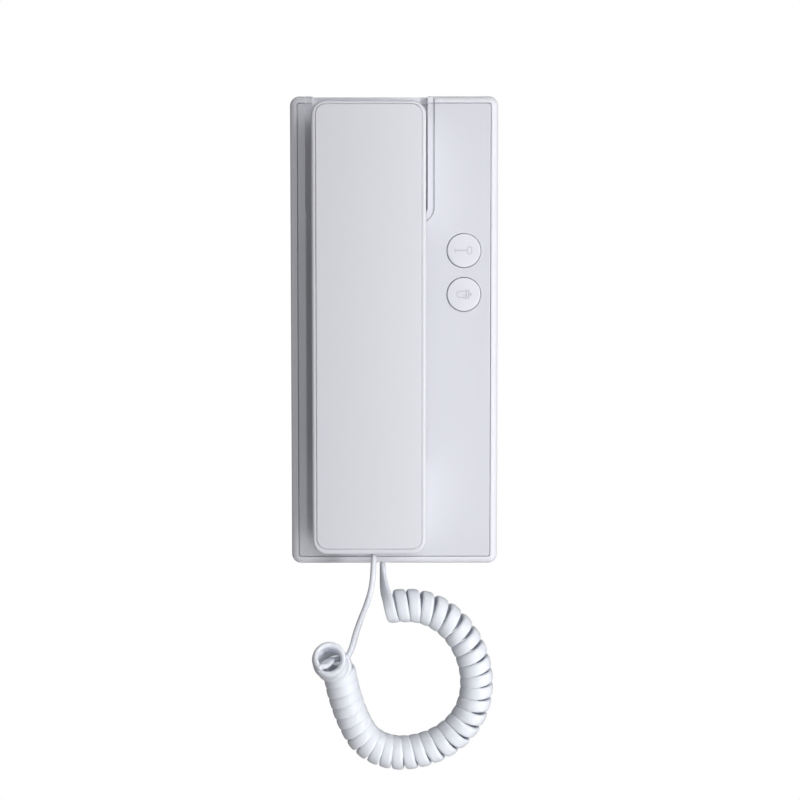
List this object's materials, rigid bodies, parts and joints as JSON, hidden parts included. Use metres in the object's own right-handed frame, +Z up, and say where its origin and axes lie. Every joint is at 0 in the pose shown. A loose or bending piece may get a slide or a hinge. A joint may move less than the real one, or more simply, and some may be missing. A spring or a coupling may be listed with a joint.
{
  "type": "wall handset station",
  "caption": "Slim white wall phone: a flat handset hangs in a shallow pocket of a round-edged base with two push buttons, and a curly cord loops below.",
  "frame": {"origin": "centre of the base's back, on the wall's face", "axes": "+Z up, -Y out of the wall towards the user, +X to the user's right"},
  "size_m": [0.0924, 0.0501, 0.3001],
  "materials": {
    "case_white": "fine satin",
    "panel_white": "fine satin",
    "handset_white": "fine satin",
    "button_white": "fine satin",
    "cord_white": "soft gloss",
    "clear_plug": "clear",
    "dark_plastic": "matte",
    "board_green": "satin",
    "terminal_green": "matte",
    "zinc_steel": "zinc plated",
    "can_metal": "satin",
    "grey_rubber": "matte"
  },
  "bodies": {
    "base": {"wall_plate": "zinc_steel", "rear_housing": "case_white", "front_panel": "panel_white", "circuit_board": "board_green", "terminal_block": "terminal_green", "terminal_screws": "zinc_steel", "board_capacitors": "can_metal", "board_chips": "dark_plastic", "ringer": "dark_plastic", "base_jack": "dark_plastic", "base_plug": "clear_plug", "hook_switch": "dark_plastic", "hook_spring": "zinc_steel", "door_button_dome": "grey_rubber", "call_button_dome": "grey_rubber", "board_screws": "zinc_steel", "panel_screws": "zinc_steel", "cord_base_tail": "cord_white", "cord_coil": "cord_white", "cord_handset_tail": "cord_white"},
    "handset": {"handset_shell": "handset_white", "handset_cover": "handset_white", "earpiece": "dark_plastic", "earpiece_gasket": "grey_rubber", "microphone": "can_metal", "microphone_boot": "grey_rubber", "handset_weight": "zinc_steel", "handset_jack": "dark_plastic", "handset_plug": "clear_plug", "handset_screws": "zinc_steel"},
    "hook": {"hook_plunger": "button_white"},
    "door_key": {"door_button": "button_white"},
    "call_key": {"call_button": "button_white"}
  },
  "joints": [
    {"name": "handset_lift", "type": "slide", "parent": "base", "child": "handset", "axis": [0, -0.866, 0.5], "range_m": [0, 0.06], "deforming": ["cord_coil", "cord_handset_tail"]},
    {"name": "hook_release", "type": "slide", "parent": "base", "child": "hook", "axis": [0, -1, 0], "range_m": [0, 0.004], "deforming": ["hook_spring"]},
    {"name": "door_press", "type": "slide", "parent": "base", "child": "door_key", "axis": [0, 1, 0], "range_m": [0, 0.0012], "stiffness_N_per_m": 800, "deforming": ["door_button_dome"]},
    {"name": "call_press", "type": "slide", "parent": "base", "child": "call_key", "axis": [0, 1, 0], "range_m": [0, 0.0012], "stiffness_N_per_m": 800, "deforming": ["call_button_dome"]}
  ],
  "couplings": [
    {"joint": "hook_release", "follows": "handset_lift", "ratio": 0.0666}
  ]
}
